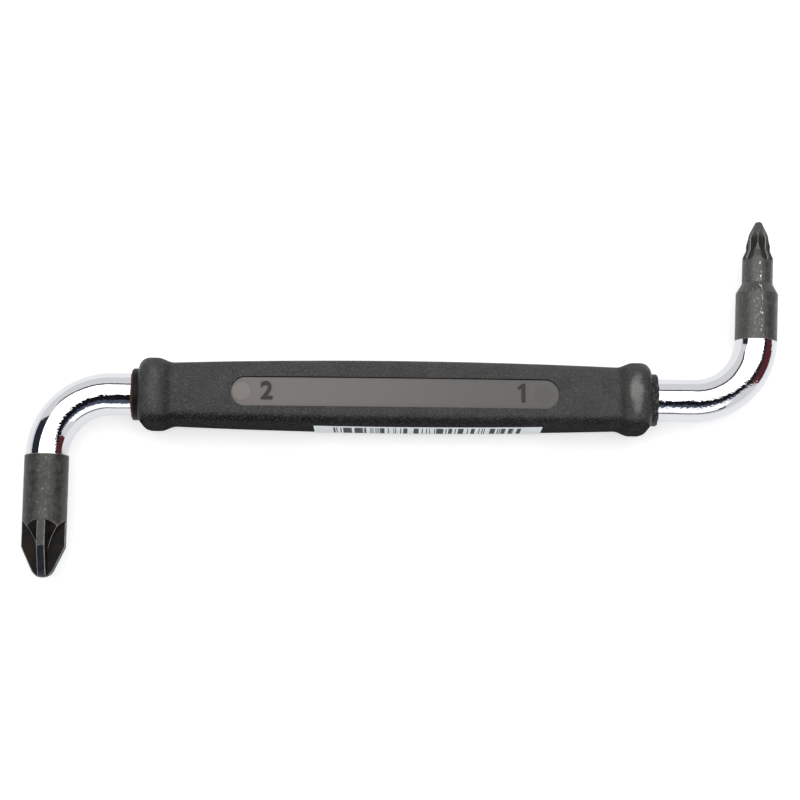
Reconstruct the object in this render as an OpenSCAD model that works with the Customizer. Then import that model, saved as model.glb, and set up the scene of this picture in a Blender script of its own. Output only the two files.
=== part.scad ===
// Offset screwdriver: a round bar, bent at both ends, through a moulded handle. One end is
// turned down to a ribbed cross tip of size 2 and the other up to a ribbed cross tip of size 1.
// +X runs along the handle to the size 1 end, +Y along the size 1 arm and +Z up.
// The tool lies on its back, on the flats of the handle's collars, in the plane z = 0.
// The origin is under the middle of the whole tool.

/* [Bar] */
// Diameter of the bar
bar_d = 7.1; // [6.5:0.1:7.5]
// Straight bar between the end ring and the bend at the size 2 end
stub_2 = 3.45; // [0.5:0.05:8]
// Straight bar between the end ring and the bend at the size 1 end
stub_1 = 6.15; // [0.5:0.05:10]
// Distance from the middle line of the handle to the end of each tip
reach = 30.5; // [29:0.5:36]
// Length of the two flats that key the bar inside the handle
key_len = 22; // [10:1:40]
// Depth of each of those flats
key_depth = 0.5; // [0.2:0.1:1]

/* [Bends] */
// Radius of the bar's middle line in a bend
bend_r = 10.4; // [8.5:0.1:12]
// Angle through which the bar turns at the size 2 end
turn_2 = 90; // [87:0.2:90]
// Angle through which the bar turns at the size 1 end
turn_1 = 87.8; // [87:0.2:90]

/* [Size 2 tip] */
// Diameter of the size 2 tip
tip_2_d = 7.3; // [7:0.1:7.6]
// Angle between the tip's outer taper and its axis
tip_2_taper = 25; // [22:0.5:28]
// Diameter of the flat on the blunt end
tip_2_flat_d = 0.2; // [0.2:0.1:1.4]
// Radius that rounds the blunt end
tip_2_nose_r = 1.95; // [0.8:0.05:2]
// Thickness of each wing
wing_2 = 1.35; // [1.2:0.05:1.6]
// Distance from the axis to the floor of a flute at the blunt end
core_2 = 0.8; // [0.7:0.05:1]
// Radius of the cutter that mills the flutes
cutter_2_r = 8; // [7:0.5:11]
// Distance from the blunt end to where the flutes start to rise
rise_2 = 3.2; // [2.5:0.1:4]
// Angle of the front wing about the tip's axis
clock_2 = 0; // [-45:0.5:45]

/* [Size 1 tip] */
// Diameter of the base of the size 1 tip
base_1_d = 7; // [6.6:0.1:7.4]
// Length of that base
base_1_len = 8.1; // [7:0.1:10]
// Length of the cone from the base to the neck
cone_1_len = 1.7; // [1:0.1:2.5]
// Diameter of the neck
neck_1_d = 5.1; // [4.6:0.1:5.6]
// Diameter of the cross
cross_1_d = 4; // [3.8:0.1:4.4]
// Distance from the blunt end to the shoulder between the cross and the neck
shoulder_1 = 5.1; // [4.6:0.1:5.6]
// Length of that shoulder
shoulder_1_len = 1.2; // [0.6:0.1:1.6]
// Angle between the tip's outer taper and its axis
tip_1_taper = 25.5; // [23:0.5:28]
// Diameter of the flat on the blunt end
tip_1_flat_d = 0.5; // [0.3:0.1:0.8]
// Radius that rounds the blunt end
tip_1_nose_r = 0.4; // [0.3:0.05:0.6]
// Thickness of each wing
wing_1 = 1.05; // [0.9:0.05:1.3]
// Distance from the axis to the floor of a flute at the blunt end
core_1 = 1.12; // [1:0.02:1.2]
// Radius of the cutter that mills the flutes
cutter_1_r = 12.6; // [11:0.2:14]
// Distance from the blunt end to where the flutes start to rise
rise_1 = 1.3; // [1:0.1:1.8]
// Angle of the front wing about the tip's axis
clock_1 = -34.5; // [-45:0.5:45]

/* [Handle] */
// Length of the handle
handle_len = 84.7; // [70:0.1:100]
// Side of the square collar at each end of the handle
collar = 11.2; // [11:0.1:12]
// How far each side of the waist, next to a collar, lies below the collar
waist_drop = 0.7; // [0.65:0.05:1]
// How far each side of the handle's middle stands above the waist
belly_rise = 0.6; // [0.3:0.05:0.65]
// Radius of the handle's long edges at the collars
corner_r = 2.2; // [1.4:0.1:3]
// Radius that rounds each end of the handle
edge_round = 2; // [1.4:0.1:2.4]
// Length of the flat on each side of a collar
crest_len = 1.2; // [0.8:0.1:2]
// Length of the curve from the collar down to the waist
slope_len = 2.8; // [2:0.1:4]

/* [Panel] */
// Length of the smooth panel sunk in the front of the handle
panel_len = 53.8; // [40:0.1:60]
// Height of the panel
panel_h = 4.9; // [4:0.1:6]
// Depth of the panel's floor below the front of the handle
panel_depth = 0.3; // [0.1:0.05:0.5]

/* [End rings] */
// Outer diameter of the ring round the bar at each end of the handle
ring_d = 8.6; // [8.3:0.1:9.2]
// How far the ring stands out of the handle
ring_proud = 1.1; // [0.5:0.1:2]
// How deep the ring sits in the handle
ring_seat = 1.5; // [1:0.1:3]
// Radius that rounds the ring's outer rim
ring_round = 0.25; // [0.1:0.05:0.4]

/* [Stock label] */
// Length of the label on the lower side of the handle
label_len = 37.5; // [20:0.5:50]
// Height of the label, which runs across the lower side
label_h = 7; // [4:0.5:8]
// Distance of the label's middle from the middle of the handle
label_off = 5.45; // [-8:0.05:8]
// Thickness of the label
label_t = 0.15; // [0.1:0.05:0.3]
// Radius of the label's corners
label_round = 0.5; // [0.5:0.1:2]

/* [Hidden] */
$fn = 96;

// Gap between the bar or a ring and the plastic moulded round it
mould_gap = 0.02;
// Height of the crown on the collars that their four flats cut away
crown = 0.03;
// How far a cut runs past the face that it opens
overrun = 1;
// Steps along a corner, the round of an end, a collar's slope, the belly and a nose
corner_steps = 8;
edge_steps = 7;
slope_steps = 7;
belly_steps = 12;
nose_steps = 6;
// How round the section is at the very end of the handle, where 1 is a circle
end_round_share = 0.97;

bar_r = bar_d / 2;
half_len = handle_len / 2;
half_collar = collar / 2;
axis_h = half_collar;

// The places along the handle, counted from its end, where its outline changes
crest_end = edge_round + crest_len;
slope_end = crest_end + slope_len;
waist_x = half_len - slope_end;
half_waist = half_collar - waist_drop;
half_belly = half_waist + belly_rise;
belly_r = (pow(waist_x, 2) + pow(belly_rise, 2)) / (2 * belly_rise);

// How far a bend carries the bar outwards and sideways
function bend_out(turn) = bend_r * sin(turn);
function bend_side(turn) = bend_r * (1 - cos(turn));

// Where each arm starts, from the middle of the handle, and its length to the tip's end
bend_x_2 = half_len + ring_proud + stub_2;
bend_x_1 = half_len + ring_proud + stub_1;
arm_x_2 = bend_x_2 + bend_out(turn_2);
arm_x_1 = bend_x_1 + bend_out(turn_1);
tip_2_len = (reach - bend_side(turn_2)) / sin(turn_2);
tip_1_len = (reach - bend_side(turn_1)) / sin(turn_1);

// The outermost point of a straight stretch of an arm, from the middle of the handle
function reach_out(arm_x, turn, len, d) = arm_x + len * cos(turn) + d / 2 * sin(turn);
tip_2_full_len = tip_2_len - full_at(tip_2_flat_d / 2, tip_2_nose_r, tip_2_taper, tip_2_d / 2);
out_2 = max(reach_out(arm_x_2, turn_2, tip_2_full_len, tip_2_d), arm_x_2 + bar_r);
out_1 = max(reach_out(arm_x_1, turn_1, base_1_len, base_1_d), arm_x_1 + bar_r);
// Where the middle of the handle lies in the frame of the whole tool
mid_x = (out_2 - out_1) / 2;

// The tool's own frame, from one centred on the handle's middle line
module in_tool() translate([mid_x, 0, axis_h]) children();

// The start of the arm at the size 1 end or, with back = 180, at the size 2 end.
// The arm runs along +Y there.
module on_arm(arm_x, turn, back)
    rotate([0, 0, back]) translate([arm_x, bend_side(turn), 0]) rotate([0, 0, turn - 90]) children();

// Points on the rounded end of a tip, and the distance from its end to its full radius
function nose_edge(flat_r, nose_r, taper) = [
    for (i = [0:nose_steps])
        let (a = -90 + (90 - taper) * i / nose_steps)
            [flat_r + nose_r * cos(a), nose_r + nose_r * sin(a)]
];
function full_at(flat_r, nose_r, taper, full_r) =
    nose_r * (1 - sin(taper)) + (full_r - flat_r - nose_r * cos(taper)) / tan(taper);

// A bend that starts at x along +X and turns towards +Y
module bend(x, turn)
    translate([x, bend_r, 0]) rotate([0, 0, -90]) rotate_extrude(angle = turn)
        translate([bend_r, 0]) circle(r = bar_r);

// The straight part of the bar, with its two flats, and a gap all round where it is cut out
module bar_core(x0, x1, gap) {
    flat_z = bar_r - key_depth + gap;
    difference() {
        translate([x0, 0, 0]) rotate([0, 90, 0]) cylinder(h = x1 - x0, r = bar_r + gap);
        for (s = [0, 180])
            rotate([s, 0, 0]) translate([-key_len / 2 + gap, -bar_d, flat_z])
                cube([key_len - 2 * gap, 2 * bar_d, bar_d]);
    }
}

module blade_bar() color("gainsboro") in_tool() {
    bar_core(-bend_x_2, bend_x_1, 0);
    bend(bend_x_1, turn_1);
    rotate([0, 0, 180]) bend(bend_x_2, turn_2);
}

// What one side of a square cut takes off a tip: a flat floor, which a round cutter ends
module flute_side(core, cutter_r, rise, len)
    rotate([90, 0, 0]) linear_extrude(height = 2 * bar_d, center = true) {
        translate([core, -overrun]) square([bar_d, rise + overrun]);
        intersection() {
            translate([core + cutter_r, rise]) circle(r = cutter_r);
            translate([core, rise]) square([bar_d, len]);
        }
    }

// Four flutes round +Z, from z = 0 up, with wings left between them and a rib in each
module flutes(wing, core, cutter_r, rise, len) difference() {
    for (a = [0:90:270]) rotate([0, 0, a]) flute_side(core, cutter_r, rise, len);
    for (a = [0, 90])
        rotate([0, 0, a]) translate([-wing / 2, -2 * bar_d, -2 * overrun])
            cube([wing, 4 * bar_d, len + 4 * overrun]);
}

// Stands a tip, drawn from its end at z = 0, on an arm of the given length
module stand_tip(len, clock) translate([0, len, 0]) rotate([90, 0, 0]) rotate([0, 0, clock]) children();

module tip_size_2() color("dimgray") in_tool() on_arm(arm_x_2, turn_2, 180)
    stand_tip(tip_2_len, clock_2) difference() {
        rotate_extrude() polygon(concat(
            [[0, 0]],
            nose_edge(tip_2_flat_d / 2, tip_2_nose_r, tip_2_taper),
            [[tip_2_d / 2, full_at(tip_2_flat_d / 2, tip_2_nose_r, tip_2_taper, tip_2_d / 2)],
             [tip_2_d / 2, tip_2_len],
             [0, tip_2_len]]));
        flutes(wing_2, core_2, cutter_2_r, rise_2, tip_2_len);
    }

module tip_size_1() color("dimgray") in_tool() on_arm(arm_x_1, turn_1, 0)
    stand_tip(tip_1_len, clock_1) difference() {
        rotate_extrude() polygon(concat(
            [[0, 0]],
            nose_edge(tip_1_flat_d / 2, tip_1_nose_r, tip_1_taper),
            [[cross_1_d / 2, full_at(tip_1_flat_d / 2, tip_1_nose_r, tip_1_taper, cross_1_d / 2)],
             [cross_1_d / 2, shoulder_1],
             [neck_1_d / 2, shoulder_1 + shoulder_1_len],
             [neck_1_d / 2, tip_1_len - base_1_len - cone_1_len],
             [base_1_d / 2, tip_1_len - base_1_len],
             [base_1_d / 2, tip_1_len],
             [0, tip_1_len]]));
        flutes(wing_1, core_1, cutter_1_r, rise_1, tip_1_len);
    }

// Half the width of the handle's square section, at x from its middle
function belly_at(x) = half_belly - (belly_r - sqrt(pow(belly_r, 2) - pow(x, 2)));
function half_at(x) =
    let (t = half_len - abs(x),
         crest = half_collar + crown,
         s = (t - crest_end) / slope_len)
        t < edge_round ? crest - edge_round + sqrt(pow(edge_round, 2) - pow(edge_round - t, 2))
        : t < crest_end ? crest
        : t < slope_end ? crest + (belly_at(x) - crest) * (1 - cos(180 * s)) / 2
        : belly_at(x);

// Radius of the section's corners, which grow to a near circle at the very end
function corner_at(x) =
    let (t = half_len - abs(x),
         share = corner_r / half_collar,
         w = t < edge_round ? pow(1 - t / edge_round, 2) : 0)
        half_at(x) * (share + (end_round_share - share) * w);

// The section at x, moved outwards by grow
function section(x, grow) =
    let (h = half_at(x) + grow, r = corner_at(x) + grow) [
        for (k = [0:3]) for (j = [0:corner_steps])
            let (a = 90 * (k + j / corner_steps))
                [x,
                 (k == 0 || k == 3 ? h - r : r - h) + r * cos(a),
                 (k < 2 ? h - r : r - h) + r * sin(a)]
    ];

// The places of the sections, from the size 2 end to the size 1 end
end_places = concat(
    [for (i = [0:edge_steps]) edge_round * (1 - cos(90 * i / edge_steps))],
    [for (i = [0:slope_steps]) crest_end + slope_len * i / slope_steps]);
places = concat(
    [for (t = end_places) t - half_len],
    [for (i = [1:belly_steps - 1]) waist_x * (2 * i / belly_steps - 1)],
    [for (i = [len(end_places) - 1:-1:0]) half_len - end_places[i]]);

// The handle's outer form as one closed skin, moved outwards by grow
module handle_skin(grow) {
    n = 4 * (corner_steps + 1);
    last = len(places) - 1;
    polyhedron(
        points = [for (x = places) each section(x, grow)],
        faces = concat(
            [[for (j = [0:n - 1]) j]],
            [for (i = [0:last - 1]) for (j = [0:n - 1])
                [i * n + j, (i + 1) * n + j, (i + 1) * n + (j + 1) % n]],
            [for (i = [0:last - 1]) for (j = [0:n - 1])
                [i * n + j, (i + 1) * n + (j + 1) % n, i * n + (j + 1) % n]],
            [[for (j = [n - 1:-1:0]) last * n + j]]));
}

// A flat outline with two round ends, centred on the origin
module round_ended(len, h) {
    square([len - h, h], center = true);
    for (s = [-1, 1]) translate([s * (len - h) / 2, 0]) circle(d = h);
}

// A flat outline with rounded corners, centred on the origin
module rounded(len, h, r) {
    square([len - 2 * r, h], center = true);
    square([len, h - 2 * r], center = true);
    for (x = [-1, 1], y = [-1, 1]) translate([x * (len / 2 - r), y * (h / 2 - r)]) circle(r = r);
}

module handle() color("#3d3d3d") in_tool() difference() {
    intersection() {
        handle_skin(0);
        cube([handle_len + overrun, collar, collar], center = true);
    }
    bar_core(-half_len - overrun, half_len + overrun, mould_gap);
    for (s = [0, 180])
        rotate([0, 0, s]) translate([half_len - ring_seat, 0, 0]) rotate([0, 90, 0])
            cylinder(h = ring_seat + overrun, d = ring_d + 2 * mould_gap);
    difference() {
        linear_extrude(height = collar) round_ended(panel_len, panel_h);
        handle_skin(-panel_depth);
    }
}

// A ring round the bar at the +X end of the handle, with its outer rim rounded
module end_ring() translate([half_len - ring_seat, 0, 0]) rotate([0, 90, 0])
    rotate_extrude() translate([bar_r + mould_gap, 0]) {
        ring_t = ring_d / 2 - bar_r - mould_gap;
        ring_len = ring_seat + ring_proud;
        square([ring_t, ring_len - ring_round]);
        square([ring_t - ring_round, ring_len]);
        translate([ring_t - ring_round, ring_len - ring_round]) circle(r = ring_round);
    }

module end_ring_size_2() color("#232323") in_tool() rotate([0, 0, 180]) end_ring();

module end_ring_size_1() color("#333333") in_tool() end_ring();

// A thin label that follows the lower side of the handle
module stock_label() color("#c6cfcf") in_tool() difference() {
    intersection() {
        handle_skin(label_t);
        translate([label_off, 0, 0]) rotate([90, 0, 0]) linear_extrude(height = collar)
            rounded(label_len, label_h, label_round);
    }
    handle_skin(0);
}

blade_bar();
tip_size_2();
tip_size_1();
handle();
end_ring_size_2();
end_ring_size_1();
stock_label();
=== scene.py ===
# %% [markdown]
# An offset screwdriver, dressed for a picture
#
# The tool is one round steel bar with both ends bent square, a moulded handle in the middle and a
# ribbed cross tip at each end. Its solids are already there, at their real size. This notebook gives
# them the surfaces that a camera sees: bright chrome, blackened steel and grained plastic. Each piece
# is modelled where its solid stands, so nothing has to be fitted afterwards.

# %% Load the solids
import math

import bmesh
import bpy
from mathutils import Matrix, Vector, noise


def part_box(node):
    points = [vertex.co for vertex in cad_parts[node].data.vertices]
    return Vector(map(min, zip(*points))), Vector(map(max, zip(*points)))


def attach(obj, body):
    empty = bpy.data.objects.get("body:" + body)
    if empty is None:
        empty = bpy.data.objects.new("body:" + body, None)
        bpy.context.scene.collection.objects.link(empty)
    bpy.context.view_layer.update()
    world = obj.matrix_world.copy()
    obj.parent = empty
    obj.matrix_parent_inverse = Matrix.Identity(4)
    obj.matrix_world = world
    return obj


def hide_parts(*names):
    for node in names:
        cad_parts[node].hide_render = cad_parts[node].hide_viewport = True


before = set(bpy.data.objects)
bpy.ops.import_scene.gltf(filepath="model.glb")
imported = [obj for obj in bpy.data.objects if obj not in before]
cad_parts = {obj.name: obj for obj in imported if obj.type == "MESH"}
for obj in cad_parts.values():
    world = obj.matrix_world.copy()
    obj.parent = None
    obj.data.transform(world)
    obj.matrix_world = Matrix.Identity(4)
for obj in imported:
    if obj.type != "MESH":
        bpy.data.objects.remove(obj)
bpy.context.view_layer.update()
MM = 0.001
BODY = "root"
print("solids:", ", ".join(sorted(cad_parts)))

# %% [markdown]
# The driving places
#
# The sizes come from the boxes of the solids, so a piece follows the solid if that changes.

# %% Read places from the solids
handle_low, handle_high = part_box("handle")
bar_low, bar_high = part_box("blade_bar")
tip_2_low, tip_2_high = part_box("tip_size_2")
tip_1_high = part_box("tip_size_1")[1]
ring_2_low, ring_2_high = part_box("end_ring_size_2")
ring_1_low, ring_1_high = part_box("end_ring_size_1")
label_low, label_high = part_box("stock_label")

mid_x = (handle_low.x + handle_high.x) / 2
axis_z = (handle_low.z + handle_high.z) / 2
half_len = (handle_high.x - handle_low.x) / 2
half_collar = (handle_high.z - handle_low.z) / 2
bar_r = (bar_high.z - bar_low.z) / 2
bend_r = abs(tip_2_high.y)
arm_2_x = (tip_2_low.x + tip_2_high.x) / 2
lean_1 = math.radians(2.2)
seam_1_y = bend_r * (1 - math.sin(lean_1))
base_1_r = 3.5 * MM
BASE_1_LEN = 8.1 * MM
arm_1_x = tip_1_high.x - base_1_r * math.cos(lean_1) - BASE_1_LEN * math.sin(lean_1)
bend_1_x = arm_1_x - bend_r * math.cos(lean_1)
bend_2_x = arm_2_x + bend_r
print(f"bar {2000 * bar_r:.2f} mm, bends at x {1000 * bend_2_x:.2f} and {1000 * bend_1_x:.2f} mm")

# %% [markdown]
# Helpers for working by hand in code
#
# An operator works on what is selected, so one thing is selected before each, and nothing else. These
# functions do that, and they finish a piece: shading, material, body and the solid it stands for.

# %% Helpers
MERGE = 0.001 * MM


def only(obj):
    """Selects obj alone and makes it the active one."""
    if bpy.context.object and bpy.context.object.mode != "OBJECT":
        bpy.ops.object.mode_set(mode="OBJECT")
    bpy.ops.object.select_all(action="DESELECT")
    obj.select_set(True)
    bpy.context.view_layer.objects.active = obj


def settle(obj):
    """Puts the place, turn and size of obj into its mesh."""
    only(obj)
    bpy.ops.object.transform_apply(location=True, rotation=True, scale=True)


def edit(obj, action="DESELECT"):
    """Opens obj for editing with nothing in it selected, or all of it where action is SELECT."""
    only(obj)
    bpy.ops.object.mode_set(mode="EDIT")
    bpy.ops.mesh.select_all(action=action)


def done():
    """Leaves edit mode."""
    bpy.ops.object.mode_set(mode="OBJECT")


def started(name, scale=(1, 1, 1)):
    """Names and scales the primitive that was just added and puts its place into its mesh."""
    obj = bpy.context.object
    obj.name = name
    obj.data.name = name
    obj.scale = scale
    settle(obj)
    return obj


def pick_points(obj, wanted):
    """In edit mode, selects the vertices for whose place wanted is true."""
    bpy.ops.mesh.select_mode(type="VERT")
    mesh = bmesh.from_edit_mesh(obj.data)
    for vert in mesh.verts:
        vert.select = bool(wanted(vert.co))
    mesh.select_flush(True)
    bmesh.update_edit_mesh(obj.data)


def pull(offset):
    """Extrudes what is selected by offset."""
    bpy.ops.mesh.extrude_region_move(TRANSFORM_OT_translate={"value": offset})


def modify(obj, kind, **settings):
    """Adds a modifier with these settings and applies it."""
    only(obj)
    bpy.ops.object.modifier_add(type=kind)
    modifier = obj.modifiers[-1]
    for key, value in settings.items():
        setattr(modifier, key, value)
    bpy.ops.object.modifier_apply(modifier=modifier.name)


def cut(obj, tool, operation="DIFFERENCE"):
    """Cuts obj with tool, and deletes the tool."""
    settings = {"object": tool, "operation": operation, "solver": "EXACT"}
    modify(obj, "BOOLEAN", material_mode="TRANSFER", **settings)
    bpy.data.objects.remove(tool)


def copy_of(obj, name):
    """A copy of obj with a mesh of its own."""
    twin = obj.copy()
    twin.data = obj.data.copy()
    twin.name = name
    bpy.context.scene.collection.objects.link(twin)
    return twin


def tidy_mesh(obj):
    """Merges doubles and points every face outwards."""
    edit(obj, "SELECT")
    bpy.ops.mesh.remove_doubles(threshold=MERGE)
    bpy.ops.mesh.normals_make_consistent(inside=False)
    done()


def finish_piece(obj, material, slot, *stands_for, smooth=30):
    """Gives a finished piece its shading, material, body and the solids that it stands for."""
    only(obj)
    bpy.ops.object.shade_smooth_by_angle(angle=math.radians(smooth))
    obj.data.materials.clear()
    obj.data.materials.append(material)
    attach(obj, BODY)
    if stands_for:
        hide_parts(*stands_for)
    print(f"{obj.name}: {len(obj.data.polygons)} faces")


# %% [markdown]
# Helpers for finishes
#
# A finish is a small tree of nodes. Each starts from the same shader and adds what that surface
# shows: grain, scratches, dirt. All patterns read Object coordinates, which are metres on the tool,
# so a scale of 1000 makes a pattern about one millimetre large.

# %% Finish helpers


class Tree:
    """A node tree that is built by adding nodes, one line each."""

    def __init__(self, tree):
        self.tree = tree

    def feed(self, target, value):
        """Gives an input a socket to read or a plain value."""
        if hasattr(value, "links"):
            self.tree.links.new(value, target)
        else:
            target.default_value = value

    def node(self, kind, feeds=None, **settings):
        """Adds a node. feeds says what each input gets, by the input's name or number."""
        made = self.tree.nodes.new(kind)
        for key, value in settings.items():
            setattr(made, key, value)
        for key, value in (feeds or {}).items():
            self.feed(made.inputs[key], value)
        return made

    def math(self, operation, a, b=0.0):
        """One sum of two numbers, each a plain one or a socket."""
        return self.node("ShaderNodeMath", {0: a, 1: b}, operation=operation).outputs["Value"]

    def times(self, a, b):
        return self.math("MULTIPLY", a, b)

    def larger(self, a, b):
        return self.math("MAXIMUM", a, b)

    def gap(self, a, b):
        """How far two numbers are apart."""
        return self.math("ABSOLUTE", self.math("SUBTRACT", a, b))

    def white_rays(self):
        """1 for what the camera and mirrors see, 0 for light on matt surfaces."""
        path = self.node("ShaderNodeLightPath").outputs
        seen = self.larger(path["Is Camera Ray"], path["Is Glossy Ray"])
        return self.larger(seen, path["Is Transmission Ray"])


class Finish(Tree):
    """A material for one surface."""

    def __init__(self, name, color, metallic=0.0, roughness=0.5):
        self.material = bpy.data.materials.new(name)
        self.material.use_nodes = True
        super().__init__(self.material.node_tree)
        self.shader = self.tree.nodes["Principled BSDF"]
        self.shader.inputs["Base Color"].default_value = (*color, 1)
        self.shader.inputs["Metallic"].default_value = metallic
        self.shader.inputs["Roughness"].default_value = roughness
        coordinates = self.node("ShaderNodeTexCoord")
        self.place = coordinates.outputs["Object"]
        self.facing = coordinates.outputs["Normal"]

    def color(self, socket):
        self.feed(self.shader.inputs["Base Color"], socket)

    def rough(self, socket):
        self.feed(self.shader.inputs["Roughness"], socket)

    def gloss(self, level):
        """How much the surface mirrors, where 0.5 is plain plastic."""
        self.feed(self.shader.inputs["Specular IOR Level"], level)

    def attribute(self, name):
        """A number that the mesh holds at each vertex."""
        return self.node("ShaderNodeAttribute", attribute_name=name).outputs["Fac"]

    def along(self, axis):
        """The place on the tool along one axis."""
        return self.node("ShaderNodeSeparateXYZ", {"Vector": self.place}).outputs[axis]

    def faces(self, axis):
        """How much the surface faces one axis, from -1 to 1."""
        return self.node("ShaderNodeSeparateXYZ", {"Vector": self.facing}).outputs[axis]

    def noise(self, scale, detail=3.0, roughness=0.5):
        """Soft noise from 0 to 1. A scale of three numbers stretches it along the axes."""
        vector = self.place
        if isinstance(scale, tuple):
            vector = self.node("ShaderNodeMapping", {"Vector": vector, "Scale": scale}).outputs["Vector"]
            scale = 1.0
        feeds = {"Vector": vector, "Scale": scale, "Detail": detail, "Roughness": roughness}
        return self.node("ShaderNodeTexNoise", feeds).outputs["Fac"]

    def ramp(self, source, low, high, value_low=0.0, value_high=1.0):
        """Turns source from low..high softly into value_low..value_high."""
        feeds = {"Value": source, "From Min": low, "From Max": high}
        feeds.update({"To Min": value_low, "To Max": value_high})
        return self.node("ShaderNodeMapRange", feeds, interpolation_type="SMOOTHSTEP").outputs["Result"]

    def oval(self, middle_x, half_x, half_y):
        """The square of the distance from (middle_x, 0), where 1 is the oval's edge."""
        across = self.math("DIVIDE", self.math("SUBTRACT", self.along("X"), middle_x), half_x)
        upwards = self.math("DIVIDE", self.along("Y"), half_y)
        return self.math("ADD", self.times(across, across), self.times(upwards, upwards))

    def mix(self, share, a, b):
        """A colour between a and b, each a colour or a socket."""
        feeds = {"Factor": share}
        for key, value in ((6, a), (7, b)):
            feeds[key] = value if hasattr(value, "links") else (*value, 1)
        return self.node("ShaderNodeMix", feeds, data_type="RGBA").outputs[2]

    def layers(self, tone, *coats):
        """Lays coats over a tone, each a pair of its share and its colour."""
        for share, color in coats:
            tone = self.mix(share, tone, color)
        return tone

    def bump(self, *layers):
        """Adds bump layers, each a pair of a height socket and its depth in metres."""
        normal = None
        for height, depth in layers:
            feeds = {"Strength": 1.0, "Distance": depth, "Height": height}
            if normal:
                feeds["Normal"] = normal
            normal = self.node("ShaderNodeBump", feeds).outputs["Normal"]
        self.feed(self.shader.inputs["Normal"], normal)


# %% [markdown]
# Chrome
#
# The bar is drawn steel with bright nickel and chrome on it. What the eye sees is mostly the room.
# Chrome gives back about 60 percent of the light, a little more of the blue. The plate follows the
# drawn bar underneath, so an edge in a reflection is never quite sharp. The outside of a bend was
# stretched when the bar was bent, so it is roughest there, most of all near the size 2 arm.

# %% Chrome
PLATE_GRAIN = 0.10
chrome = Finish("chrome", (0.60, 0.61, 0.63), metallic=1.0, roughness=0.05)
waves = chrome.noise(160.0, detail=1.0)
peel = chrome.noise((2100.0, 2900.0, 2900.0), detail=1.0)
bar_x = chrome.along("X")
rougher = chrome.math(
    "ADD",
    chrome.ramp(bar_x, arm_2_x + 9 * MM, arm_2_x + 3 * MM, 0.9, 1.15),
    chrome.ramp(bar_x, 0.0, half_len, 0.0, 0.5),
)
outer_side = chrome.ramp(chrome.math("SUBTRACT", chrome.faces("X"), chrome.faces("Y")), 0.0, 0.15)
upper_side = chrome.ramp(chrome.faces("Z"), 0.74, 0.84)
stretched = chrome.times(rougher, chrome.times(outer_side, upper_side))
plate = chrome.times(peel, chrome.math("ADD", stretched, PLATE_GRAIN))
chrome.rough(chrome.ramp(peel, 0.45, 0.75, 0.04, 0.10))
chrome.bump((waves, 0.10 * MM), (plate, 0.022 * MM))

# %% [markdown]
# Blackened steel
#
# After milling, the tips are hardened and blackened. The skin is dark grey and slightly green, with
# lengthwise marks from drawing. Bright specks stand where it has rubbed through, and the size 2 taper is
# blued by heat. Along the top of each tip the specks are gathered into a streak, partly wear and partly
# a painted highlight where the round tip faces the softbox. Bright lines lie on the sharp edges. Those
# come from the mesh: each vertex is told how pointed the mesh is there, so pointed places get bare metal
# and hollow ones more black.

# %% Blackened steel
steel = Finish("blackened_steel", (0.08, 0.08, 0.075), metallic=0.7, roughness=0.5)
steel_x = steel.along("X")
steel_y = steel.along("Y")
drawn = steel.noise((5200.0, 420.0, 5200.0), detail=4.0, roughness=0.7)
mottle = steel.noise(900.0, detail=4.0, roughness=0.65)
specks = steel.noise((4600.0, 2300.0, 4600.0), roughness=0.6)
crumbs = steel.noise((3300.0, 1700.0, 3300.0), detail=4.0, roughness=0.7)
chips = steel.noise((3000.0, 1500.0, 3000.0), detail=2.0)


def wear_highlight_streak(middle_x, inner, outer, patches, last_y, gone_y):
    """Patches along a tip, for chips and for streaks of wear and painted highlight: full up to inner
    beside middle_x and up to last_y.
    """
    beside = steel.ramp(steel.gap(steel_x, middle_x), inner, outer, 1.0, 0.0)
    patches = steel.times(beside, patches)
    return steel.times(patches, steel.ramp(steel_y, last_y, gone_y, 1.0, 0.0))


CROSS_1_Y = tip_1_high.y - 6 * MM
# Painted highlight: bright patches along the top of each tip, where the round tip faces the softbox,
# mixed with wear.
highlight_streak_1 = wear_highlight_streak(
    arm_1_x, 0.6 * MM, 1.0 * MM, steel.ramp(crumbs, 0.56, 0.66), CROSS_1_Y - 2 * MM, CROSS_1_Y
)
highlight_streak_2 = wear_highlight_streak(
    arm_2_x, 0.96 * MM, 1.6 * MM, steel.ramp(crumbs, 0.60, 0.70), CROSS_1_Y - 2 * MM, CROSS_1_Y
)
chip = wear_highlight_streak(
    arm_1_x + 0.45 * MM,
    0.10 * MM,
    0.35 * MM,
    steel.ramp(chips, 0.58, 0.64),
    CROSS_1_Y - MM,
    CROSS_1_Y - 0.4 * MM,
)
flank_1 = steel.times(steel.ramp(steel.faces("X"), 0.72, 0.90), steel.ramp(steel_y, 0.0, MM))
rough_flank = steel.times(flank_1, steel.ramp(crumbs, 0.53, 0.60))
TAPER_2_Y = tip_2_low.y + 4.95 * MM
blued = steel.ramp(steel_y, TAPER_2_Y + 0.05 * MM, TAPER_2_Y - 0.10 * MM)
pointed = steel.attribute("pointed")
bare_edge = steel.times(
    steel.times(
        steel.ramp(pointed, 0.045, 0.10), steel.ramp(mottle, 0.3, 0.55, 0.35, 1.0)
    ),
    steel.ramp(steel_y, 0.0, MM, 1.0, 0.55),
)
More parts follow.
